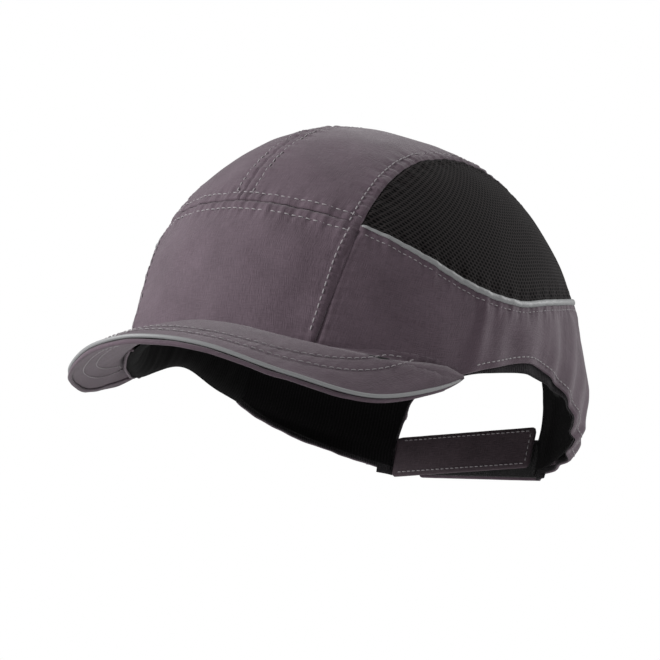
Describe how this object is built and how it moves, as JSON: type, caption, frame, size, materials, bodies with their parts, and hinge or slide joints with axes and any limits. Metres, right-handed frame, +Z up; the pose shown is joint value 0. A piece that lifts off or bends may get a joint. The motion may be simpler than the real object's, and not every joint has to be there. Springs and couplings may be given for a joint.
{
  "type": "bump cap",
  "caption": "Short-brim bump cap: fabric panels, mesh sides, reflective piping, hard impact shell with foam pads, and a rear arch closed by a strap and a peel tab.",
  "frame": {"origin": "centre of the head opening, in the plane of the head band", "axes": "as worn: +Z up, the brim faces -Y, the wearer's left is +X; the head band's plane is tilted 22 degrees about X, front up"},
  "size_m": [0.18, 0.2497, 0.15],
  "materials": {
    "cap_fabric": "fine plain weave, matte with a slight sheen",
    "air_mesh": "knitted spacer mesh",
    "reflective_piping": "retroreflective tape over cord",
    "board_plastic": "extruded sheet",
    "shell_plastic": "fine moulded texture",
    "foam": "closed-cell foam",
    "sweatband": "ribbed knit",
    "lining": "brushed lining",
    "tape": "ribbed ribbon",
    "hook": "hook fastener",
    "loop": "loop fastener"
  },
  "bodies": {
    "cap": {"front_panel": "cap_fabric", "crown_panel_left": "cap_fabric", "crown_panel_right": "cap_fabric", "mesh_panel_left": "air_mesh", "mesh_panel_right": "air_mesh", "side_panel_left": "cap_fabric", "side_panel_right": "cap_fabric", "side_piping_left": "reflective_piping", "side_piping_right": "reflective_piping", "brim_board": "board_plastic", "brim_top_cover": "cap_fabric", "brim_under_cover": "cap_fabric", "brim_piping": "reflective_piping", "hem_binding_left": "tape", "hem_binding_right": "tape", "arch_binding": "tape", "tail_lining_left": "lining", "tail_lining_right": "lining", "centre_seam_tape": "tape", "front_seam_tape": "tape", "strip_seam_tape_left": "tape", "strip_seam_tape_right": "tape", "impact_shell": "shell_plastic", "crown_pad": "foam", "front_pad": "foam", "side_pad_left": "foam", "side_pad_right": "foam", "rear_pad": "foam", "sweatband": "sweatband"},
    "strap": {"closure_strap": "cap_fabric", "strap_hook_patch": "hook"},
    "tab": {"closure_tab": "cap_fabric", "tab_loop_patch": "loop"}
  },
  "joints": [
    {"name": "tab_peel", "type": "hinge", "parent": "cap", "child": "tab", "pos_m": [0.0384, 0.08122, -0.04684], "axis": [0, -0.3746, -0.9272], "range_deg": [0, 150]},
    {"name": "strap_swing", "type": "hinge", "parent": "cap", "child": "strap", "pos_m": [-0.0384, 0.0771, -0.04248], "axis": [0, -0.3746, -0.9272], "range_deg": [0, 60]}
  ]
}
